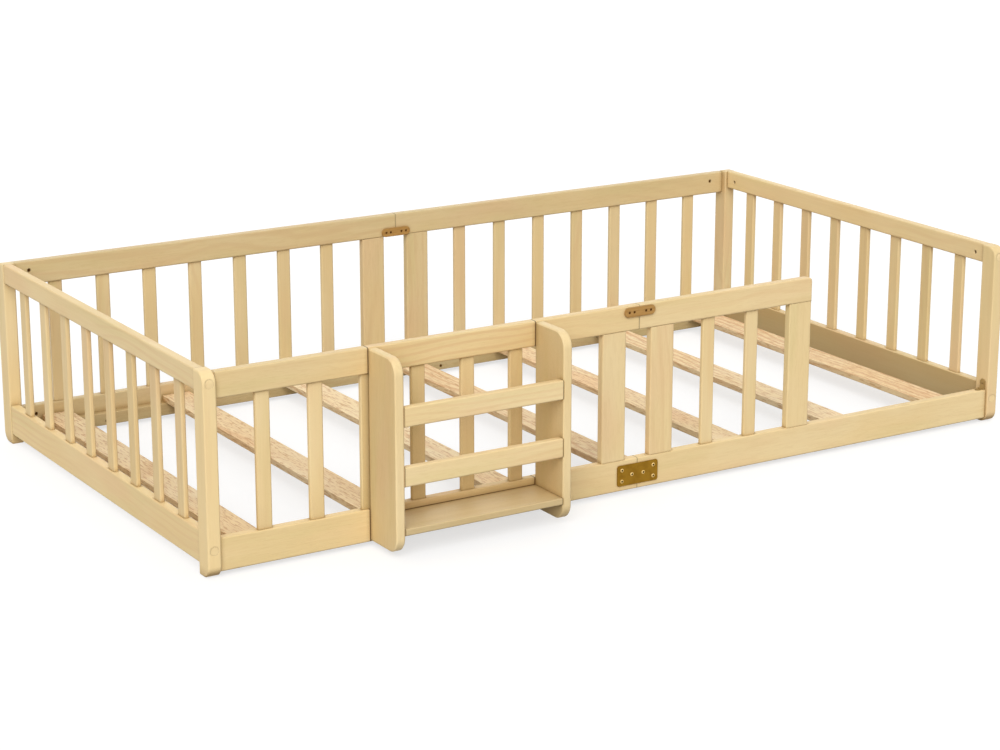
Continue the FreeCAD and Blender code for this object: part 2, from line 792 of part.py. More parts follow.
for side_name, x0, x1 in (("left", -post_inner_x, 0), ("right", 0, post_inner_x)):
    rear_top = side_rail(x0, x1, side_top_z0, side_top_z1, rear_cutters)
    rear_bottom = side_rail(x0, x1, side_bottom_z0, side_bottom_z1, rear_cutters)
    save("rear_top_rail_" + side_name, [mirror_y(rear_top)])
    save("rear_bottom_rail_" + side_name, [mirror_y(rear_bottom)])


# ---- front and rear slats ----
left_slats = [side_slat(centre, 0, 0) for centre in left_centres]
save("front_left_slats", left_slats)
save("front_right_slats", [side_slat(centre, 0, 0) for centre in front_right_centres])
save("rear_left_slats", [mirror_y(slat) for slat in left_slats])
save("rear_right_slats", [mirror_x(mirror_y(slat)) for slat in left_slats])
middle_wide_slat = wide_slat(-wide_slat_offset)
save("front_wide_slat_left", [middle_wide_slat])
save("front_wide_slat_right", [mirror_x(middle_wide_slat)])
save("front_wide_slat_entrance", [wide_slat(panel_slat_x)])
save("rear_wide_slat_left", [mirror_y(middle_wide_slat)])
save("rear_wide_slat_right", [mirror_x(mirror_y(middle_wide_slat))])


# ---- book shelf ----
def shelf_side(x0):
    """A side board with round front corners and eased front, top and lower edges."""
    y0 = shelf_front_y
    y1 = -side_outer_y
    z0 = shelf_lift
    z1 = post_height - shelf_top_drop
    corners = [Vector(x0, y0, z0), Vector(x0, y1, z0), Vector(x0, y1, z1), Vector(x0, y0, z1)]
    radii = [shelf_corner_radius, 0, 0, shelf_corner_radius]
    board = rounded_plate(corners, radii, AXES["X"], shelf_board_thickness)
    free_edges = [edge for edge in outline_edges(board, AXES["X"])
                  if edge.BoundBox.YMin < y1 - 0.01]
    board = board.makeChamfer(shelf_edge_chamfer, free_edges)
    return carved(board, shelf_dowel_holes + shelf_screw_holes)


def shelf_bar(z0):
    bar = block(bay_left_x, shelf_right_x, shelf_front_y, bar_back_y, z0, z0 + bar_height)
    return carved(eased(bar, bar_edge_chamfer, "X"), shelf_dowel_holes)


def shelf_tray():
    board = block(bay_left_x, shelf_right_x, shelf_front_y, -side_outer_y, tray_level,
                  tray_level + tray_thickness)
    return carved(eased(board, tray_edge_chamfer, "X"), shelf_dowel_holes)


save("shelf_side_left", [shelf_side(shelf_left_x)])
save("shelf_side_right", [shelf_side(shelf_right_x)])
save("shelf_upper_bar", [shelf_bar(upper_bar_level)])
save("shelf_lower_bar", [shelf_bar(lower_bar_level)])
save("shelf_tray", [shelf_tray()])

# ---- brace and remaining hardware ----
save("corner_brace", [corner_brace()])
save("corner_brace_screws", [brace_screw_high, brace_screw_low])
save("shelf_screws", shelf_screws)
save("rail_dowels", rail_dowels)
save("shelf_dowels", shelf_dowels)
save("post_bolts", all_corners(post_bolts))
save("plug_caps", all_corners(plugs))

upper_hanger = hanger_bolt(upper_bolt_z)
upper_side_nut = side_nut(upper_bolt_z)
lower_hanger = hanger_bolt(lower_bolt_level)
lower_side_nut = side_nut(lower_bolt_level)


def upper_side_places(shape):
    """Upper rail fittings: all corners but the front right, where the entrance is."""
    return [shape, mirror_y(shape), mirror_x(mirror_y(shape))]


save("hanger_bolts", all_corners([lower_hanger]) + upper_side_places(upper_hanger))
save("barrel_nuts", all_corners(end_nuts + [lower_side_nut]) + upper_side_places(upper_side_nut))
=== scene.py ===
"""Looks of the toddler floor bed: pale pine, pinkish mattress slats, brass and bronzed fittings.

Metres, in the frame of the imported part: X along the bed, Y from front to rear, Z up.
"""

import itertools
import math

import bmesh
import bpy
from mathutils import Matrix, Vector


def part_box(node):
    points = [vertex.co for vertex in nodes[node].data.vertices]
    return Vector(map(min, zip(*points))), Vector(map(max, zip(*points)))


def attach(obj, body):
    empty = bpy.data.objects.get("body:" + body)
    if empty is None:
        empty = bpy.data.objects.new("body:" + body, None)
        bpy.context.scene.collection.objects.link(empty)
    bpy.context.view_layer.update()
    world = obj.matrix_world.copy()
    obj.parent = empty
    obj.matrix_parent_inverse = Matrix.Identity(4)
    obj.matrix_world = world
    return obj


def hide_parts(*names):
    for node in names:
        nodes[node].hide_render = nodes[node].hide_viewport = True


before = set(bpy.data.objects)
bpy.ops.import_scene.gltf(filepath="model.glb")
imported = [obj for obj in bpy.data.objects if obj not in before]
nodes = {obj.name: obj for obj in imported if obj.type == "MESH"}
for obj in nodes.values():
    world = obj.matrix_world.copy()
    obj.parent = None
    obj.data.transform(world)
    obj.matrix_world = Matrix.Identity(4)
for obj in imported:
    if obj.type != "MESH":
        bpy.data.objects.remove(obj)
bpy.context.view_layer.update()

AXIS_INDEX = {"X": 0, "Y": 1, "Z": 2}

# ---- tones, linear ----
# base, light, green and blush make up a wood's clouds, dark its grain; light is also the painted
# highlight of the edges, and side the painted shade of faces in shade and of faces with others
# close in front
PINE = {"light": (0.89, 0.705, 0.400), "base": (0.865, 0.655, 0.337),
        "dark": (0.62, 0.410, 0.170), "blush": (0.86, 0.590, 0.325),
        "green": (0.79, 0.630, 0.305), "side": (0.40, 0.265, 0.095)}
SLAT_PINE = {"light": (0.97, 0.815, 0.545), "base": (0.965, 0.750, 0.445),
             "dark": (0.50, 0.215, 0.065), "blush": (0.95, 0.610, 0.330),
             "green": (0.93, 0.730, 0.420), "side": (0.30, 0.160, 0.045)}
PLATE_WOOD = {"light": (0.49, 0.27, 0.080), "base": (0.44, 0.235, 0.060),
              "dark": (0.27, 0.125, 0.030), "blush": (0.46, 0.22, 0.060),
              "green": (0.41, 0.23, 0.065)}
BEECH = {"light": (0.72, 0.50, 0.28), "base": (0.62, 0.40, 0.21),
         "dark": (0.45, 0.26, 0.12), "blush": (0.66, 0.40, 0.22), "green": (0.60, 0.41, 0.20)}
BRASS_TONE = (0.31, 0.165, 0.017)
BRASS_DULL = (0.27, 0.142, 0.014)
# screw heads, lighter than the plate's brass: partly a painted sheen, so they shine as a bright
# ring from every side
HEAD_SHEEN_TONE = (0.92, 0.67, 0.28)
HEAD_SHEEN_DULL = (0.76, 0.52, 0.18)
BRONZE_TONE = (0.50, 0.350, 0.140)
BRONZE_DULL = (0.30, 0.185, 0.060)
SCREW_TONE = (0.19, 0.085, 0.020)
SCREW_DULL = (0.12, 0.050, 0.012)
# painted shade that stands for the hollows of driver recesses
SOCKET_SHADE_TONE = (0.070, 0.035, 0.006)
SOCKET_SHADE_DULL = (0.045, 0.022, 0.004)
SEAM_TONE = (0.10, 0.048, 0.014)
# painted shade in inner corners and creases
CREVICE_SHADE_TONE = (0.40, 0.250, 0.095)
FLOOR_TONE = (0.375, 0.375, 0.375)
FLOOR_CLOUD_TONE = (0.385, 0.385, 0.385)
WHITE = (1.0, 1.0, 1.0, 1.0)

# ---- node trees ----
EDGE_SAMPLES = 4
EDGE_LIGHT_END = 0.97           # cosine between round and flat normal at which an edge's lighter tone stops


class NodeTree:
    """Short calls for the nodes that the finishes, the floor and the sky need."""

    def __init__(self, tree):
        self.tree = tree
        self.tree.nodes.clear()

    def node(self, kind, **settings):
        made = self.tree.nodes.new("ShaderNode" + kind)
        for key, value in settings.items():
            setattr(made, key, value)
        return made

    def feed(self, socket, value):
        """Link a socket into another, or set a constant on it."""
        if isinstance(value, bpy.types.NodeSocket):
            self.tree.links.new(value, socket)
        else:
            socket.default_value = value

    def math(self, operation, a, b=0.0, clamp=False):
        made = self.node("Math", operation=operation, use_clamp=clamp)
        self.feed(made.inputs[0], a)
        self.feed(made.inputs[1], b)
        return made.outputs[0]

    def vector(self, operation, a, b):
        made = self.node("VectorMath", operation=operation)
        self.feed(made.inputs[0], a)
        self.feed(made.inputs[1], b)
        return made.outputs["Value" if operation == "DOT_PRODUCT" else "Vector"]

    def noise(self, vector, scale, detail=2.0, roughness=0.5, output="Fac"):
        made = self.node("TexNoise")
        self.feed(made.inputs["Vector"], vector)
        made.inputs["Scale"].default_value = scale
        made.inputs["Detail"].default_value = detail
        made.inputs["Roughness"].default_value = roughness
        return made.outputs[output]

    def span(self, value, low, high, to_low=0.0, to_high=1.0):
        """Smooth change between two outputs as the value goes from low to high."""
        made = self.node("MapRange", interpolation_type="SMOOTHSTEP")
        self.feed(made.inputs["Value"], value)
        made.inputs["From Min"].default_value = low
        made.inputs["From Max"].default_value = high
        made.inputs["To Min"].default_value = to_low
        made.inputs["To Max"].default_value = to_high
        return made.outputs["Result"]

    def blend(self, share, a, b):
        made = self.node("Mix", data_type="RGBA", blend_type="MIX")
        self.feed(made.inputs[0], share)
        for socket, value in ((made.inputs[6], a), (made.inputs[7], b)):
            if isinstance(value, tuple):
                value = (*value, 1.0)
            self.feed(socket, value)
        return made.outputs[2]

    def seen_directly(self):
        """1 for rays that show a thing, 0 for those that only carry its light to others."""
        rays = self.node("LightPath").outputs
        seen = self.math("MAXIMUM", rays["Is Camera Ray"], rays["Is Glossy Ray"])
        return self.math("MAXIMUM", seen, rays["Is Transmission Ray"])


class Finish(NodeTree):
    """A material whose colour is laid on tone by tone."""

    def __init__(self, name, colour):
        self.material = bpy.data.materials.new(name)
        self.material.use_nodes = True
        super().__init__(self.material.node_tree)
        self.place = self.node("TexCoord").outputs["Object"]
        self.colour = colour

    def lay(self, share, tone):
        """Lay a share of a tone over the colour so far."""
        self.colour = self.blend(share, self.colour, tone)

    def round_and_lighten_edges(self, radius, start, share, tone):
        """Make edges look round, and lay a lighter tone on them that fades out from start to where
        they turn flat.
        """
        bevel = self.node("Bevel", samples=EDGE_SAMPLES)
        bevel.inputs["Radius"].default_value = radius
        self.rounded = bevel.outputs[0]
        self.flat = self.node("NewGeometry").outputs["True Normal"]
        turn = self.vector("DOT_PRODUCT", self.rounded, self.flat)
        self.lay(self.span(turn, start, EDGE_LIGHT_END, share, 0.0), tone)

    def bump(self, height, strength, depth):
        """Normal of a rough surface, round at the edges."""
        made = self.node("Bump")
        made.inputs["Strength"].default_value = strength
        made.inputs["Distance"].default_value = depth
        self.feed(made.inputs["Height"], height)
        self.feed(made.inputs["Normal"], self.rounded)
        return made.outputs[0]

    def surface(self, roughness, normal, metallic=0.0, specular=0.25):
        """Put the colour on the material."""
        made = self.node("BsdfPrincipled")
        self.feed(made.inputs["Base Color"], self.colour)
        self.feed(made.inputs["Roughness"], roughness)
        self.feed(made.inputs["Normal"], normal)
        made.inputs["Metallic"].default_value = metallic
        made.inputs["Specular IOR Level"].default_value = specular
        self.feed(self.node("OutputMaterial").inputs["Surface"], made.outputs[0])
        return made


# ---- wood ----
CUT_STEP = (0.731, 0.417, 0.593)               # where in its log a board is cut, per seed
CUT_WRAP = (1.9, 1.7, 1.3)
BOARD_SPREAD = Vector((0.37, 0.53, 0.29))      # how far apart the boards of a row are cut
BOARD_SEED_STEP = 7.31    # this and the next keep the chances of the seeds apart
TONE_SEED_STEP = 12.9898
TONE_SPREAD = 0.35

# noises: stretch along the grain, scale, detail, roughness
BENDING = (0.45, 3.5, 2.0, 0.5)
FADING = (0.30, 4.5, 1.0, 0.5)
FIBRES = (0.012, 1100.0, 3.0, 0.6)
THREADS = (0.02, 260.0, 3.0, 0.6)
STREAKS = (0.05, 60.0, 3.0, 0.5)
BANDS = (0.15, 20.0, 2.0, 0.5)
CLOUDS = (0.45, 7.0, 2.0, 0.5)
PATCHES = (0.30, 11.0, 1.0, 0.5)
DASHES = (0.12, 290.0, 2.0, 0.6)
LINES = (0.04, 130.0, 2.0, 0.6)

# a tone, the noise that brings it in, where it starts and ends, and its largest share
TINTS = [("light", CLOUDS, 0.35, 0.68, 0.75),
         ("green", BANDS, 0.48, 0.72, 0.55),
         ("blush", PATCHES, 0.52, 0.72, 0.50)]

# rings round a pith, cut lengthwise; late is the dark part of each ring
RING_STRETCH = 0.20
RING_BEND = Vector((0.11, 0.11, 0.11))
RING_SETTINGS = {"Scale": 21.0, "Distortion": 3.0, "Detail": 2.0, "Detail Scale": 1.1}
LATE_START = 0.45
LATE_FADE = (0.40, 0.66)  # of the noise that leaves the rings out in places
LATE_DEPTH = 0.4          # how far they are sunk into the face, as a share of the fibres

# shares of the dark tone that each part of the grain brings in
LATE_DARK = 0.35
FIBRE_DARK = 0.22
THREAD_DARK = 0.26
STREAK_DARK = 0.30
TONE_DARK = 0.26
PLAIN_DARK = 0.09

DASH_SPAN = (0.50, 0.62)
LINE_SPAN = (0.56, 0.72)
LINE_SHARE = 0.4

KNOT_STRETCH = 0.55
KNOT_SCALE = 11.0
KNOT_SPAN = (0.05, 0.11)
KNOT_CORE = 0.55
KNOT_RING = 0.10
KNOT_RING_WIDTH = 0.03
KNOT_SHARE = 0.8

# painted highlight: the wood's edges are lightened, as where light catches their rounding
WOOD_HIGHLIGHT_START = 0.80
WOOD_EDGE_HIGHLIGHT = 0.5
SQUARE_LIMIT = 0.8        # cosine above which a face counts as square to an axis
SHADE_SAMPLES = 4
# painted shade in inner corners, where other faces stand within reach
CONTACT_SHADE_REACH = 0.012
CONTACT_SHADE_SPAN = (0.40, 0.97)
CONTACT_SHADE_SHARE = 0.9
# painted shade where other boards stand close in front
CLOSE_BY_SHADE_REACH = 0.15
CLOSE_BY_SHADE_SPAN = (0.45, 0.97)
SEAM_WIDTH = 0.0022       # where the line has faded, on each of the two boards
WOOD_BUMP = 0.25
WOOD_BUMP_DEPTH = 0.0004
FIBRE_SPAN = (0.3, 0.7)
WOOD_ROUGHNESS_SPREAD = 0.16


class Wood(Finish):
    """Solid wood whose grain runs along one axis; each lay_ method adds one effect."""

    def __init__(self, name, tones, grain, seed):
        super().__init__(name, tones["base"])
        self.tones = tones
        self.grain = grain
        self.seed = seed
        shift = Vector([seed * step % wrap for step, wrap in zip(CUT_STEP, CUT_WRAP)])
        self.coords = self.vector("ADD", self.place, shift)

    def along(self, axis):
        """Place of a point along an axis of the bed."""
        parts = self.node("SeparateXYZ")
        self.feed(parts.inputs[0], self.place)
        return parts.outputs[AXIS_INDEX[axis]]

    def stretched(self, stretch):
        """Coordinates in which a pattern gets longer along the grain."""
        scale = Vector((1, 1, 1))
        scale[AXIS_INDEX[self.grain]] = stretch
        return self.vector("MULTIPLY", self.coords, scale)

    def layer(self, settings, output="Fac"):
        stretch, scale, detail, roughness = settings
        return self.noise(self.stretched(stretch), scale, detail, roughness, output)

    def square_to(self, axis):
        """1 on faces square to an axis, 0 on the others; "-X" is only the side towards -X."""
        direction = Vector((0, 0, 0))
        direction[AXIS_INDEX[axis[-1]]] = -1.0 if axis[0] == "-" else 1.0
        turned = self.vector("DOT_PRODUCT", self.flat, direction)
        if len(axis) == 1:
            turned = self.math("ABSOLUTE", turned)
        return self.math("GREATER_THAN", turned, SQUARE_LIMIT)

    def occlusion(self, reach, limits, share):
        """Share that grows where other faces stand within reach; it carries painted shade."""
        around = self.node("AmbientOcclusion", samples=SHADE_SAMPLES)
        around.inputs["Distance"].default_value = reach
        return self.span(around.outputs["AO"], *limits, share, 0.0)

    def cut_row(self, axis, start, pitch):
        """Cut every board of a row from its own place, and return each board's own tone."""
        beyond = self.math("SUBTRACT", self.along(axis), start)
        index = self.math("FLOOR", self.math("DIVIDE", beyond, pitch))
        chance = self.node("TexWhiteNoise", noise_dimensions="1D")
        self.feed(chance.inputs["W"], self.math("ADD", index, self.seed * BOARD_SEED_STEP))
        spread = self.vector("MULTIPLY", chance.outputs["Color"], BOARD_SPREAD)
        self.coords = self.vector("ADD", self.coords, spread)
        return self.math("SUBTRACT", chance.outputs["Value"], 0.5)

    def lay_figure(self, figure):
        """Clouds of slightly different tones, and the flame figure of the growth rings."""
        for key, settings, low, high, share in TINTS:
            self.lay(self.span(self.layer(settings), low, high, 0.0, share), self.tones[key])
        bend = self.vector("MULTIPLY", self.layer(BENDING, "Color"), RING_BEND)
        rings = self.node("TexWave", wave_type="RINGS", rings_direction=self.grain,
                          wave_profile="SIN")
        self.feed(rings.inputs["Vector"], self.vector("ADD", self.stretched(RING_STRETCH), bend))
        for key, value in RING_SETTINGS.items():
            rings.inputs[key].default_value = value
        fading = self.span(self.layer(FADING), *LATE_FADE)
        self.late = self.math("MULTIPLY", self.span(rings.outputs["Fac"], LATE_START, 1.0), fading)
        self.lay(self.math("MULTIPLY", self.late, figure), self.tones["blush"])

    def lay_grain(self, figure, tone):
        """Fine dark fibres, and the tone of the whole board."""
        self.fibres = self.layer(FIBRES)
        share = self.math("MULTIPLY", self.late, figure * LATE_DARK)
        for part, weight in ((self.fibres, FIBRE_DARK), (self.layer(THREADS), THREAD_DARK),
                             (self.layer(STREAKS), STREAK_DARK)):
            centred = self.math("SUBTRACT", part, 0.5)
            share = self.math("ADD", share, self.math("MULTIPLY", centred, weight))
        share = self.math("ADD", share, self.math("MULTIPLY", tone, TONE_DARK))
        self.lay(self.math("ADD", share, PLAIN_DARK, clamp=True), self.tones["dark"])
        self.height = self.math("SUBTRACT", self.fibres,
                                self.math("MULTIPLY", self.late, LATE_DEPTH))

    def lay_pores(self, pores):
        """Short dark dashes and fine lines, sunk into the face."""
        lines = self.math("MAXIMUM", self.span(self.layer(LINES), *LINE_SPAN), self.late)
        marks = self.math("MAXIMUM", self.span(self.layer(DASHES), *DASH_SPAN),
                          self.math("MULTIPLY", lines, LINE_SHARE))
        self.lay(self.math("MULTIPLY", marks, pores), self.tones["dark"])
        self.height = self.math("SUBTRACT", self.height, marks)

    def lay_knots(self, knots):
        """Knots with a dark ring, in that share of the cells of the board."""
        cell = self.node("TexVoronoi")
        self.feed(cell.inputs["Vector"], self.stretched(KNOT_STRETCH))
        cell.inputs["Scale"].default_value = KNOT_SCALE
        picked = self.node("SeparateColor")
        self.feed(picked.inputs[0], cell.outputs["Color"])
        chosen = self.math("GREATER_THAN", picked.outputs[0], 1.0 - knots)
        away = cell.outputs["Distance"]
        core = self.math("MULTIPLY", self.span(away, *KNOT_SPAN, 1.0, 0.0), KNOT_CORE)
        off_ring = self.math("ABSOLUTE", self.math("SUBTRACT", away, KNOT_RING))
        ring = self.span(off_ring, 0.0, KNOT_RING_WIDTH, 1.0, 0.0)
        knot = self.math("MULTIPLY", self.math("MAXIMUM", core, ring), chosen)
        self.lay(self.math("MULTIPLY", knot, KNOT_SHARE), self.tones["dark"])

    def lay_sawn(self, axis, share):
        """Painted shade: darker faces square to an axis, as on sides that stand in shade."""
        self.lay(self.math("MULTIPLY", self.square_to(axis), share), self.tones["side"])

    def lay_joints(self, reach, shelter, seams):
        """Painted shade in inner corners and where others stand close in front, and the dark lines
        of the joints.
        """
        long_face = self.math("SUBTRACT", 1.0, self.square_to(self.grain))
        # painted shade in inner corners, on the long faces only
        corner_shade = self.occlusion(reach, CONTACT_SHADE_SPAN, CONTACT_SHADE_SHARE)
        self.lay(self.math("MULTIPLY", corner_shade, long_face), CREVICE_SHADE_TONE)
        # painted shade where other boards stand close in front
        if shelter:
            self.lay(self.occlusion(CLOSE_BY_SHADE_REACH, CLOSE_BY_SHADE_SPAN, shelter), self.tones["side"])
        for axis, at, share in seams:
            away = self.math("ABSOLUTE", self.math("SUBTRACT", self.along(axis), at))
            line = self.span(away, 0.0, SEAM_WIDTH, share, 0.0)
            self.lay(self.math("MULTIPLY", line, long_face), SEAM_TONE)


def wood(name, tones, grain, seed, cells=None, seams=(), edge=0.003, figure=0.25, pores=0.0,
         knots=0.0, roughness=0.46, sawn=None, tone=None, reach=CONTACT_SHADE_REACH, shelter=0.0):
    """Material of solid wood whose grain runs along one axis.

    cells = (axis, first board's start, pitch) gives every board of a row its own cut and tone.
    seams = (axis, place, share) where a joint of the board shows as a thin dark line.
    edge = how far in from its edges the board looks round.
    figure, pores, knots = how much of each the board shows, from 0 to 1.
    sawn = (axis, share) paints shade on the faces square to an axis; "-X" is only one of the two.
    tone = how much darker the board is than its log, from -0.5 to 0.5.
    reach = how far the painted shade of an inner corner spreads.
    shelter = how much painted shade the board gets where others stand close in front of it.
    """
    made = Wood(name, tones, grain, seed)
    if cells:
        tone = made.cut_row(*cells)
    elif tone is None:
        tone = math.sin(seed * TONE_SEED_STEP) * TONE_SPREAD
    made.lay_figure(figure)
    made.lay_grain(figure, tone)
    if pores:
        made.lay_pores(pores)
    if knots:
        made.lay_knots(knots)
    # painted highlight along the rounded edges
    made.round_and_lighten_edges(edge, WOOD_HIGHLIGHT_START, WOOD_EDGE_HIGHLIGHT, tones["light"])
    if sawn:
        made.lay_sawn(*sawn)
    made.lay_joints(reach, shelter, seams)
    made.surface(made.span(made.fibres, *FIBRE_SPAN, roughness, roughness + WOOD_ROUGHNESS_SPREAD),
                 made.bump(made.height, WOOD_BUMP, WOOD_BUMP_DEPTH))
    return made.material


def shaded(tones, factor):
    """The same wood made darker or lighter by a factor: painted light and shade on the boards, a
    lighter log on the plugs.
    """
    return {key: tuple(channel * factor for channel in tone) for key, tone in tones.items()}


# ---- metal ----
METAL_STEP = (0.31, 0.17, 0.23)                # where in the pattern a metal lies, per seed
METAL_CLOUD_SCALE = 60.0
METAL_DETAIL = 3.0
DULL_SPAN = (0.35, 0.7)
BRUSH_STRETCH = Vector((0.05, 1, 1))
BRUSH_SCALE = 2400.0
METAL_EDGE = 0.0008
METAL_EDGE_LIGHT_START = 0.75
METAL_EDGE_LIGHT = 0.6
METAL_BUMP = 0.15
METAL_BUMP_DEPTH = 0.0002
METAL_ROUGHNESS_SPAN = (0.3, 0.7)
METAL_ROUGHNESS_SPREAD = 0.2


def metal(name, tone, dull, seed, roughness, metallic, specular=0.25):
    """Plated or lacquered metal, brushed fine, in two tones, lighter at its edges."""
    made = Finish(name, tone)
    coords = made.vector("ADD", made.place, Vector([seed * step for step in METAL_STEP]))
    clouds = made.noise(coords, METAL_CLOUD_SCALE, METAL_DETAIL)
    brushed = made.noise(made.vector("MULTIPLY", coords, BRUSH_STRETCH), BRUSH_SCALE)
    made.lay(made.span(clouds, *DULL_SPAN), dull)
    made.round_and_lighten_edges(METAL_EDGE, METAL_EDGE_LIGHT_START, METAL_EDGE_LIGHT, tone)
    made.surface(made.span(clouds, *METAL_ROUGHNESS_SPAN, roughness,
                           roughness + METAL_ROUGHNESS_SPREAD),
                 made.bump(brushed, METAL_BUMP, METAL_BUMP_DEPTH), metallic, specular)
    return made.material


brass = metal("brass_plate", BRASS_TONE, BRASS_DULL, 1, roughness=0.45, metallic=1.0)
brass_head = metal("brass_heads", HEAD_SHEEN_TONE, HEAD_SHEEN_DULL, 2, roughness=0.45, metallic=0.4)
bronze = metal("bronzed_fittings", BRONZE_TONE, BRONZE_DULL, 3, roughness=0.45, metallic=0.6)
dark_steel = metal("dark_screws", SCREW_TONE, SCREW_DULL, 4, roughness=0.60, metallic=0.2,
                   specular=0.05)
# painted shade for the hollows of driver recesses
hollow_shade_paint = metal("driver_hollow_shade", SOCKET_SHADE_TONE, SOCKET_SHADE_DULL, 5, roughness=0.8, metallic=0.0,
                    specular=0.05)

# ---- solids of the CAD nodes ----
WELD_DISTANCE = 1e-6
END_TOLERANCE = 1e-5


def dress(target, material):
    """Give all faces of an object one material."""
    target.data.materials.clear()
    target.data.materials.append(material)
    for face in target.data.polygons:
        face.material_index = 0


def loose_parts(node):
    """Points of each separate solid of a CAD node."""
    mesh = bmesh.new()
    mesh.from_mesh(nodes[node].data)
    bmesh.ops.remove_doubles(mesh, verts=mesh.verts, dist=WELD_DISTANCE)
    parts = []
    seen = set()
    for start in mesh.verts:
        if start in seen:
            continue
        seen.add(start)
        stack = [start]
        points = []
        while stack:
            vert = stack.pop()
            points.append(vert.co.copy())
            for edge in vert.link_edges:
                other = edge.other_vert(vert)
                if other not in seen:
                    seen.add(other)
                    stack.append(other)
        parts.append(points)
    mesh.free()
    return parts


def extent(points):
    """Lowest and highest corner of some points."""
    return (Vector([min(p[i] for p in points) for i in range(3)]),
            Vector([max(p[i] for p in points) for i in range(3)]))


def row_cells(node, axis):
    """Axis, start and pitch of the row of boards in a node."""
    index = AXIS_INDEX[axis]
    middles = sorted((low[index] + high[index]) / 2
                     for low, high in map(extent, loose_parts(node)))
    pitch = middles[1] - middles[0]
    return axis, middles[0] - pitch / 2, pitch


def head_place(points):
    """Middle of a fastener's wider end, the direction it faces, and its length."""
    low, high = extent(points)
    size = high - low
    axis = max(range(3), key=lambda i: size[i])
    middle = (low + high) / 2

    def reach(end):
        near = [p for p in points if abs(p[axis] - end) < END_TOLERANCE]
        return max(math.hypot(*[p[i] - middle[i] for i in range(3) if i != axis]) for p in near)

    sign = 1 if reach(high[axis]) >= reach(low[axis]) else -1
    direction = Vector((0, 0, 0))
    direction[axis] = sign
    top = middle.copy()
    top[axis] = high[axis] if sign > 0 else low[axis]
    return top, direction, size[axis]


# ---- boards ----
X_RAILS = ["front_top_rail_a", "front_top_rail_b", "front_top_rail_c", "front_top_rail_d",
           "front_bottom_rail_a", "front_bottom_rail_b", "front_bottom_rail_c",
           "front_bottom_rail_d", "rear_top_rail_left", "rear_top_rail_right",
           "rear_bottom_rail_left", "rear_bottom_rail_right"]
END_RAILS = ["end_left_top_rail", "end_left_bottom_rail", "end_right_top_rail",
             "end_right_bottom_rail"]
POSTS = ["post_front_left", "post_front_right", "post_rear_left", "post_rear_right"]
SLAT_ROWS = [("front_left_slats", "X"), ("front_right_slats", "X"), ("rear_left_slats", "X"),
             ("rear_right_slats", "X"), ("end_left_slats", "Y"), ("end_right_slats", "Y")]
WIDE_SLATS = ["front_wide_slat_left", "front_wide_slat_right", "front_wide_slat_entrance",
              "rear_wide_slat_left", "rear_wide_slat_right"]
SHELF_SIDES = ["shelf_side_left", "shelf_side_right"]
SHELF_BOARDS = ["shelf_upper_bar", "shelf_lower_bar", "shelf_tray"]
LEDGERS = ["ledger_front_left", "ledger_front_right", "ledger_rear_left", "ledger_rear_right"]

# how light a board is painted, 1 for boards that aren't named: partly the tone of its log, mostly
# painted shade, darkest on boards at the back, inside the bed and by the shelf
BOARD_TONE_AND_SHADE = {"post_front_left": 1.04, "post_front_right": 0.95,
               "post_rear_left": 0.97, "post_rear_right": 0.86,
               "end_left_bottom_rail": 1.03, "end_right_bottom_rail": 0.90,
               "end_left_slats": 0.95, "end_right_slats": 0.90,
               "front_top_rail_a": 0.94, "front_bottom_rail_d": 0.97,
               "front_wide_slat_left": 0.96, "front_wide_slat_right": 0.96,
               "front_wide_slat_entrance": 0.97,
               "rear_top_rail_left": 0.79, "rear_top_rail_right": 0.79,
               "rear_bottom_rail_left": 0.84, "rear_bottom_rail_right": 0.84,
               "rear_left_slats": 0.86, "rear_right_slats": 0.86,
               "rear_wide_slat_left": 0.84, "rear_wide_slat_right": 0.82,
               "shelf_side_right": 0.99, "shelf_tray": 0.81,
               "ledger_front_left": 0.88, "ledger_front_right": 0.88,
               "ledger_rear_left": 0.82, "ledger_rear_right": 0.82}

# what sets a board apart from others of its kind: more figure, and painted shade where others
# stand close in front of it and on one side
BOARD_TRAITS = {"front_top_rail_b": {"figure": 0.5, "shelter": 0.25},
                "front_bottom_rail_b": {"shelter": 0.45},
                "front_left_slats": {"shelter": 0.55},
                "front_right_slats": {"shelter": 0.2},
                "rear_bottom_rail_left": {"shelter": 0.3},
                "rear_bottom_rail_right": {"shelter": 0.3},
                "end_right_bottom_rail": {"sawn": ("-X", 0.55)},
                "shelf_side_right": {"shelter": 0.45},
                "shelf_tray": {"shelter": 0.35}}

POST_EDGE = 0.0035
# the painted shade of the posts' inner corners spreads further
POST_SHADE_REACH = 0.025
SMALL_EDGE = 0.0015
SEAM_NEAR = 0.005         # how near a shelf side a joint counts as beside it
PLAIN_SEAM = 0.50         # how dark the line of a joint is
SHELF_SEAM = 0.95

board_seeds = itertools.count(1)


def board(name, grain, **kind):
    """Give a CAD node its own cut of the pine."""
    # the board's painted light and shade, and the tone of its log
    tones = shaded(PINE, BOARD_TONE_AND_SHADE.get(name, 1.0))
    traits = {**kind, **BOARD_TRAITS.get(name, {})}
    dress(nodes[name], wood("wood_" + name, tones, grain, next(board_seeds), **traits))


def seam_lines(name, axis):
    """Joint lines at both ends of a board and where the tray meets the rail behind it.

    They are darker at the shelf than elsewhere.
    """
    lines = []
    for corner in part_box(name):
        at = corner[AXIS_INDEX[axis]]
        beside = axis == "X" and any(low.x - SEAM_NEAR < at < high.x + SEAM_NEAR
                                     for low, high in map(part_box, SHELF_SIDES))
        lines.append((axis, at, SHELF_SEAM if beside else PLAIN_SEAM))
    tray_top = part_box("shelf_tray")[1]
    if name == "shelf_tray":
        lines.append(("Y", tray_top.y, SHELF_SEAM))
    if name == "front_bottom_rail_b":
        lines.append(("Z", tray_top.z, SHELF_SEAM))
    return lines


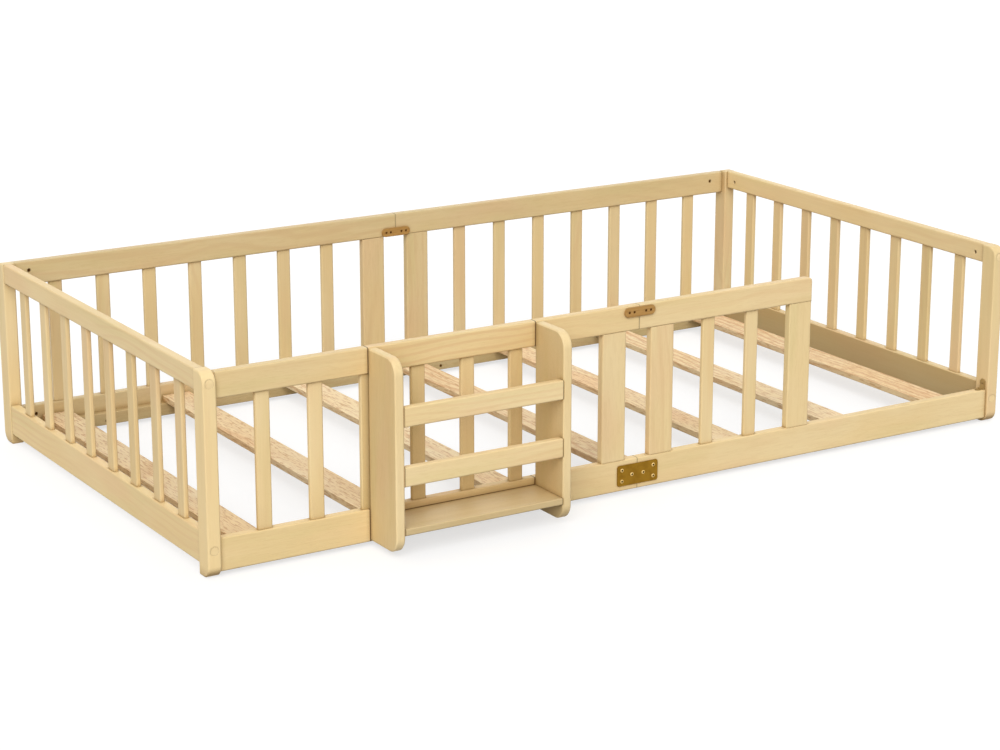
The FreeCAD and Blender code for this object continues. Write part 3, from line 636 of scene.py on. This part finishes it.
for name in X_RAILS + SHELF_BOARDS:
    board(name, "X", seams=seam_lines(name, "X"), pores=0.1)
for name in END_RAILS:
    board(name, "Y", seams=seam_lines(name, "Y"), figure=0.35)
# posts, with painted shade spreading further in their inner corners
for name in POSTS:
    board(name, "Z", edge=POST_EDGE, tone=-0.30, reach=POST_SHADE_REACH)
# shelf sides, with painted shade on their faces square to X
for name in SHELF_SIDES:
    board(name, "Z", edge=POST_EDGE, pores=0.1, sawn=("X", 0.26))
for name in WIDE_SLATS:
    board(name, "Z", edge=POST_EDGE, pores=0.1)
for name, axis in SLAT_ROWS:
    board(name, "Z", cells=row_cells(name, axis))
# ledgers, with painted shade where the slats stand close above them
for name in LEDGERS:
    board(name, "X", edge=SMALL_EDGE, pores=0.3, shelter=0.5)

# mattress slats, with painted shade on their sides square to X
dress(nodes["mattress_slats"],
      wood("wood_mattress_slats", SLAT_PINE, "Y", seed=61, cells=row_cells("mattress_slats", "X"),
           edge=SMALL_EDGE, figure=0.4, pores=0.50, knots=0.08, roughness=0.6,
           sawn=("X", 0.25)))
for name, seed in (("front_wood_plate", 71), ("rear_wood_plate", 72)):
    dress(nodes[name], wood("wood_" + name, PLATE_WOOD, "X", seed, edge=0.0012, pores=0.35))
beech = wood("wood_dowels", BEECH, "X", seed=81, edge=0.0008)
for name in ("rail_dowels", "shelf_dowels"):
    dress(nodes[name], beech)
for name in ("front_brass_plate", "rear_brass_plate"):
    dress(nodes[name], brass)
for name in ("corner_brace", "post_bolts", "hanger_bolts"):
    dress(nodes[name], bronze)

# ---- turned pieces ----
TURN_STEPS = 32
SMOOTH_ANGLE = 40.0       # degrees; sharper edges stay sharp
CROSS_ARM = 0.62          # of the head's radius, as the next two
CROSS_HALF = 0.13
RECESS_SHARE = 0.56
RECESS_RISE = 0.00006     # lets a recess show above the head it lies in
HEAD_LIP = 0.0003         # how far a head's rim and its recess reach below the face
HEAD_DEPTH = 0.0020       # where the head has narrowed to the shank
HEAD_DOME = [(1.0, 0.35), (0.86, 0.85), (0.5, 1.0)]      # shares of its radius and height
TIP_RADIUS = 0.3          # of the shank's radius
TIP_START = 0.85          # of the length


def facing(direction):
    """Rotation that turns +Z to a direction."""
    return Vector((0, 0, 1)).rotation_difference(direction).to_matrix().to_4x4()


def close_sides(mesh, lower, upper):
    """Join two rings of the same number of points by a band of faces."""
    for i in range(len(lower)):
        j = (i + 1) % len(lower)
        mesh.faces.new((lower[i], lower[j], upper[j], upper[i]))


def turn_profile(mesh, profile, place):
    """Add a solid turned from (radius, height) pairs; the first and last rings are closed."""
    rings = []
    for radius, height in profile:
        ring = []
        for step in range(TURN_STEPS):
            angle = 2 * math.pi * step / TURN_STEPS
            point = Vector((radius * math.cos(angle), radius * math.sin(angle), height))
            ring.append(mesh.verts.new(place @ point))
        rings.append(ring)
    for lower, upper in zip(rings, rings[1:]):
        close_sides(mesh, lower, upper)
    mesh.faces.new(list(reversed(rings[0])))
    mesh.faces.new(rings[-1])


def shaded_round_hollow(mesh, radius, top, bottom, place):
    """Add the dark round middle of a screw head: painted shade standing for the hollow of its
    recess.
    """
    turn_profile(mesh, [(RECESS_SHARE * radius, bottom), (RECESS_SHARE * radius, top)], place)


def shaded_cross_hollow(mesh, radius, top, bottom, place):
    """Add the dark cross of a driver recess, as a thin plus that reaches below the head: painted
    shade standing for the hollow.
    """
    arm = CROSS_ARM * radius
    half = CROSS_HALF * radius
    outline = [(arm, -half), (arm, half), (half, half), (half, arm), (-half, arm), (-half, half),
               (-arm, half), (-arm, -half), (-half, -half), (-half, -arm), (half, -arm),
               (half, -half)]
    upper = [mesh.verts.new(place @ Vector((x, y, top))) for x, y in outline]
    lower = [mesh.verts.new(place @ Vector((x, y, bottom))) for x, y in outline]
    close_sides(mesh, lower, upper)
    mesh.faces.new(upper)
    mesh.faces.new(list(reversed(lower)))


def finish_piece(mesh, name, material, cad_node):
    """Make the object of a mesh, let it ride on the bed and stand for a CAD node, if any."""
    bmesh.ops.recalc_face_normals(mesh, faces=mesh.faces)
    data = bpy.data.meshes.new(name)
    mesh.to_mesh(data)
    mesh.free()
    data.set_sharp_from_angle(angle=math.radians(SMOOTH_ANGLE))
    for face in data.polygons:
        face.use_smooth = True
    data.materials.append(material)
    made = bpy.data.objects.new(name, data)
    bpy.context.scene.collection.objects.link(made)
    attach(made, "root")
    if cad_node:
        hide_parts(cad_node)


# ---- screws ----
# CAD node, piece, radius and height of the head, radius of the shank, finish, slot, recess
SCREW_ROWS = [
    ("brass_plate_screws", "brass_screw_heads", 0.0040, 0.0009, 0.0016, brass_head,
     "brass", shaded_round_hollow),
    ("wood_plate_screws", "plate_screw_heads", 0.0028, 0.0002, 0.0016, dark_steel,
     "bronzed_steel", shaded_cross_hollow),
    ("ledger_screws", "ledger_screw_heads", 0.0034, 0.0001, 0.0020, dark_steel,
     "bronzed_steel", shaded_cross_hollow),
    ("shelf_screws", "shelf_screw_heads", 0.0034, 0.0001, 0.0020, dark_steel,
     "bronzed_steel", shaded_cross_hollow),
    ("corner_brace_screws", "brace_screw_heads", 0.0030, 0.0007, 0.0016, bronze,
     "bronzed_steel", shaded_cross_hollow)]


def screw_row(node, name, head_radius, proud, shank_radius, material, slot_name, recess):
    """Round screws in place of every screw of a CAD node, each with a dark piece of painted shade
    for its driver recess.
    """
    mesh = bmesh.new()
    recess_shades = bmesh.new()
    dome = [(head_radius * radius, proud * height) for radius, height in HEAD_DOME]
    for points in loose_parts(node):
        top, direction, length = head_place(points)
        place = Matrix.Translation(top) @ facing(direction)
        shank = [(shank_radius * TIP_RADIUS, -length), (shank_radius, -length * TIP_START),
                 (shank_radius, -HEAD_DEPTH), (head_radius, -HEAD_LIP)]
        turn_profile(mesh, shank + dome, place)
        recess(recess_shades, head_radius, proud + RECESS_RISE, -HEAD_LIP, place)
    finish_piece(mesh, name, material, node)
    finish_piece(recess_shades, name + "_recess_shades", hollow_shade_paint, None)


for row in SCREW_ROWS:
    screw_row(*row)

# ---- barrel nuts ----
NUT_RADIUS = 0.0038
NUT_CHAMFER = 0.0005

bed_low, bed_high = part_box("mattress_slats")
bed_middle = (bed_low + bed_high) / 2


def barrel_nuts():
    """Round nuts, with a dark cross of painted shade for the driver recess at the end that faces
    the mattress.
    """
    nuts = bmesh.new()
    recess_shades = bmesh.new()
    for points in loose_parts("barrel_nuts"):
        low, high = extent(points)
        middle = (low + high) / 2
        size = high - low
        axis = max(range(2), key=lambda i: size[i])
        length = size[axis]
        inward = Vector((0, 0, 0))
        inward[axis] = math.copysign(1.0, bed_middle[axis] - middle[axis])
        place = Matrix.Translation(middle + inward * (length / 2)) @ facing(inward)
        turn_profile(nuts, [(NUT_RADIUS - NUT_CHAMFER, -length),
                            (NUT_RADIUS, -length + NUT_CHAMFER),
                            (NUT_RADIUS, -NUT_CHAMFER), (NUT_RADIUS - NUT_CHAMFER, 0)], place)
        shaded_cross_hollow(recess_shades, NUT_RADIUS, RECESS_RISE, -HEAD_LIP, place)
    finish_piece(nuts, "barrel_nut_ends", dark_steel, "barrel_nuts")
    finish_piece(recess_shades, "barrel_nut_slot_shades", hollow_shade_paint, None)


barrel_nuts()

# ---- plugs ----
PLUG_RADIUS = 0.00868     # just inside the flats of the many-sided hole
PLUG_EASE = 0.00015
PLUG_STEPS = 6            # rings of the face, which let it follow the post's corner
PLUG_SHADE = 1.02
POST_CORNER = 0.024       # radius of the posts' outward corners


def plug_discs():
    """Round wooden plugs, flush with the posts also where the corner curves away."""
    mesh = bmesh.new()
    post_low, post_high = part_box("post_front_left")
    flat_radius = PLUG_RADIUS - PLUG_EASE
    for points in loose_parts("plug_caps"):
        low, high = extent(points)
        middle = (low + high) / 2
        outward = Vector((0, math.copysign(1.0, middle.y - bed_middle.y), 0))
        face = high.y if outward.y > 0 else low.y
        place = Matrix.Translation(Vector((middle.x, face, middle.z))) @ facing(outward)
        profile = [(PLUG_RADIUS, -(high - low).y), (PLUG_RADIUS, -PLUG_EASE)]
        profile += [(flat_radius * step / PLUG_STEPS, 0.0) for step in range(PLUG_STEPS, 0, -1)]
        before = len(mesh.verts)
        turn_profile(mesh, profile, place)
        mesh.verts.ensure_lookup_table()
        for vert in mesh.verts[before:]:
            rise = max(vert.co.z - (post_high.z - POST_CORNER),
                       post_low.z + POST_CORNER - vert.co.z, 0)
            back = POST_CORNER - math.sqrt(POST_CORNER ** 2 - rise ** 2)
            if (face - vert.co.y) * outward.y < back:
                vert.co.y = face - back * outward.y
    tones = shaded({**PINE, "green": PINE["blush"]}, PLUG_SHADE)
    plug_wood = wood("wood_plugs", tones, "Y", seed=91, edge=0.0004, figure=0.1, tone=-0.1)
    finish_piece(mesh, "plug_discs", plug_wood, "plug_caps")


plug_discs()

# ---- floor ----
FLOOR_REACH = 30.0
FLOOR_LIFT = 0.66         # lets the floor show as white and lights nothing
FLOOR_CLOUD_SCALE = 3.0
FLOOR_ROUGHNESS = 0.9


def lay_floor():
    """White floor that keeps the bed's shadow."""
    corners = [(x * FLOOR_REACH, y * FLOOR_REACH, 0)
               for x, y in ((-1, -1), (1, -1), (1, 1), (-1, 1))]
    data = bpy.data.meshes.new("floor")
    data.from_pydata(corners, [], [(0, 1, 2, 3)])
    floor = bpy.data.objects.new("floor", data)
    bpy.context.scene.collection.objects.link(floor)
    made = Finish("floor_paint", FLOOR_TONE)
    made.lay(made.noise(made.place, FLOOR_CLOUD_SCALE), FLOOR_CLOUD_TONE)
    paint = made.surface(FLOOR_ROUGHNESS, made.node("NewGeometry").outputs["Normal"])
    paint.inputs["Emission Color"].default_value = WHITE
    made.feed(paint.inputs["Emission Strength"],
              made.math("MULTIPLY", made.seen_directly(), FLOOR_LIFT))
    data.materials.append(made.material)


lay_floor()

# ---- light ----
WORLD_STRENGTH = 0.50
BACKDROP_STRENGTH = 1.0   # shows as white

# name, strength, width in degrees, where it shines from
SUNS = [("key", 2.32, 50, Vector((-0.48, -0.67, 0.566))),
        ("fill", 0.70, 60, Vector((0.62, 0.70, 0.35)))]


def open_sky():
    """Soft light from all sides, with a white backdrop where the sky itself is seen."""
    world = bpy.data.worlds.new("studio")
    bpy.context.scene.world = world
    world.use_nodes = True
    sky = NodeTree(world.node_tree)
    either = sky.node("MixShader")
    sky.feed(either.inputs[0], sky.seen_directly())
    for socket, strength in ((1, WORLD_STRENGTH), (2, BACKDROP_STRENGTH)):
        glow = sky.node("Background")
        glow.inputs["Color"].default_value = WHITE
        glow.inputs["Strength"].default_value = strength
        sky.feed(either.inputs[socket], glow.outputs[0])
    sky.feed(sky.node("OutputWorld").inputs["Surface"], either.outputs[0])


def hang_sun(name, strength, width, shines_from):
    """Wide sun, whose shadows have soft edges."""
    sun = bpy.data.lights.new(name, "SUN")
    sun.energy = strength
    sun.angle = math.radians(width)
    placed = bpy.data.objects.new(name, sun)
    placed.rotation_euler = shines_from.to_track_quat("Z", "Y").to_euler()
    bpy.context.scene.collection.objects.link(placed)


open_sky()
for row in SUNS:
    hang_sun(*row)

# ---- camera ----
CAMERA_PLACE = (-2.921, -4.668, 1.715)
CAMERA_PITCH = 15.95      # degrees below the horizon
CAMERA_YAW = 31.63        # degrees from +Y towards +X
LENS_LENGTH = 92.4        # mm, as the next
SENSOR_WIDTH = 36.0
VIEW_REACH = 100.0        # metres

camera_data = bpy.data.cameras.new("camera")
camera_data.lens = LENS_LENGTH
camera_data.sensor_width = SENSOR_WIDTH
camera_data.clip_end = VIEW_REACH
camera = bpy.data.objects.new("camera", camera_data)
camera.location = CAMERA_PLACE
camera.rotation_euler = (math.radians(90 - CAMERA_PITCH), 0, math.radians(-CAMERA_YAW))
bpy.context.scene.collection.objects.link(camera)
bpy.context.scene.camera = camera

bpy.context.scene.view_settings.view_transform = "Standard"
